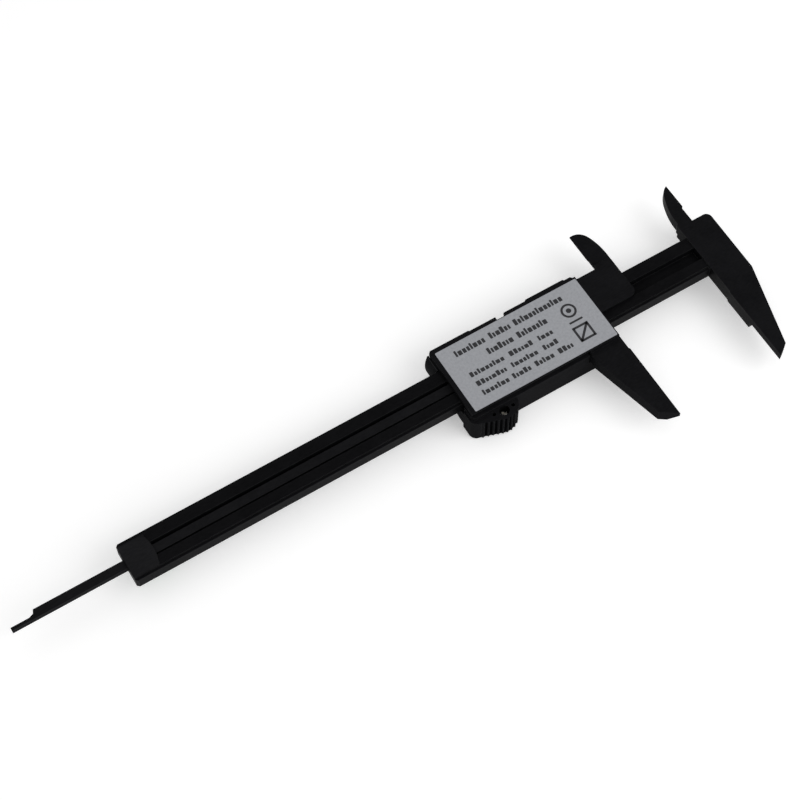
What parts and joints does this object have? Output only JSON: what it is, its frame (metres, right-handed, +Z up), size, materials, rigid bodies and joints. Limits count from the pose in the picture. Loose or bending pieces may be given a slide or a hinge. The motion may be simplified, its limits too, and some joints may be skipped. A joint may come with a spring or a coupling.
{
  "type": "digital caliper",
  "caption": "Slim black plastic digital caliper, opened part way, with outside and inside jaws, depth rod, thumb grip, display housing and a silver back label.",
  "frame": {"origin": "middle of the display housing's front bezel, which the caliper lies on with its back up, under the beam's centreline", "axes": "+X along the beam towards the fixed jaws, +Y towards the inside jaws, +Z up, out of the back"},
  "size_m": [0.2783, 0.0772, 0.0146],
  "materials": {
    "carbon_plastic": "moulded, fine satin grain",
    "rod_plastic": "moulded, slightly smoother",
    "scale_film": "printed black film with pale divisions",
    "label_film": "satin silver film with dark print",
    "circuit": "green solder mask",
    "screw_steel": "zinc plated",
    "spring_steel": "nickel plated sheet",
    "cell_steel": "polished nickel",
    "clear_window": "clear polished acrylic",
    "lcd_glass": "grey-green display cell",
    "elastomer": "striped elastomer",
    "epoxy": "glossy potting drop",
    "key_plastic": "moulded grey",
    "key_plastic_power": "moulded red"
  },
  "bodies": {
    "beam": {"main_beam": "carbon_plastic", "stator_board": "circuit", "scale_label": "scale_film", "end_cap": "carbon_plastic"},
    "slider": {"slider_frame": "carbon_plastic", "back_label": "label_film", "front_cover": "carbon_plastic", "depth_rod": "rod_plastic", "rod_screw": "screw_steel", "guide_spring": "spring_steel", "grip_screw": "screw_steel", "housing_screws": "screw_steel", "lcd_window": "clear_window", "lcd_panel": "lcd_glass", "lcd_connector": "elastomer", "main_board": "circuit", "board_chip": "epoxy", "key_domes": "spring_steel", "battery": "cell_steel", "contact_negative": "spring_steel", "contact_positive": "spring_steel"},
    "key_unit_body": {"key_unit": "key_plastic"},
    "key_power_body": {"key_power": "key_plastic_power"},
    "key_zero_body": {"key_zero": "key_plastic"},
    "door": {"battery_door": "carbon_plastic"}
  },
  "joints": [
    {"name": "slider_slide", "type": "slide", "parent": "beam", "child": "slider", "axis": [1, 0, 0], "range_m": [-0.11, 0.0411]},
    {"name": "key_unit_press", "type": "slide", "parent": "slider", "child": "key_unit_body", "axis": [0, 0, 1], "range_m": [0, 0.00045], "stiffness_N_per_m": 2000},
    {"name": "key_power_press", "type": "slide", "parent": "slider", "child": "key_power_body", "axis": [0, 0, 1], "range_m": [0, 0.00045], "stiffness_N_per_m": 2000},
    {"name": "key_zero_press", "type": "slide", "parent": "slider", "child": "key_zero_body", "axis": [0, 0, 1], "range_m": [0, 0.00045], "stiffness_N_per_m": 2000},
    {"name": "battery_door_slide", "type": "slide", "parent": "slider", "child": "door", "axis": [-1, 0, 0], "range_m": [0, 0.014]}
  ]
}
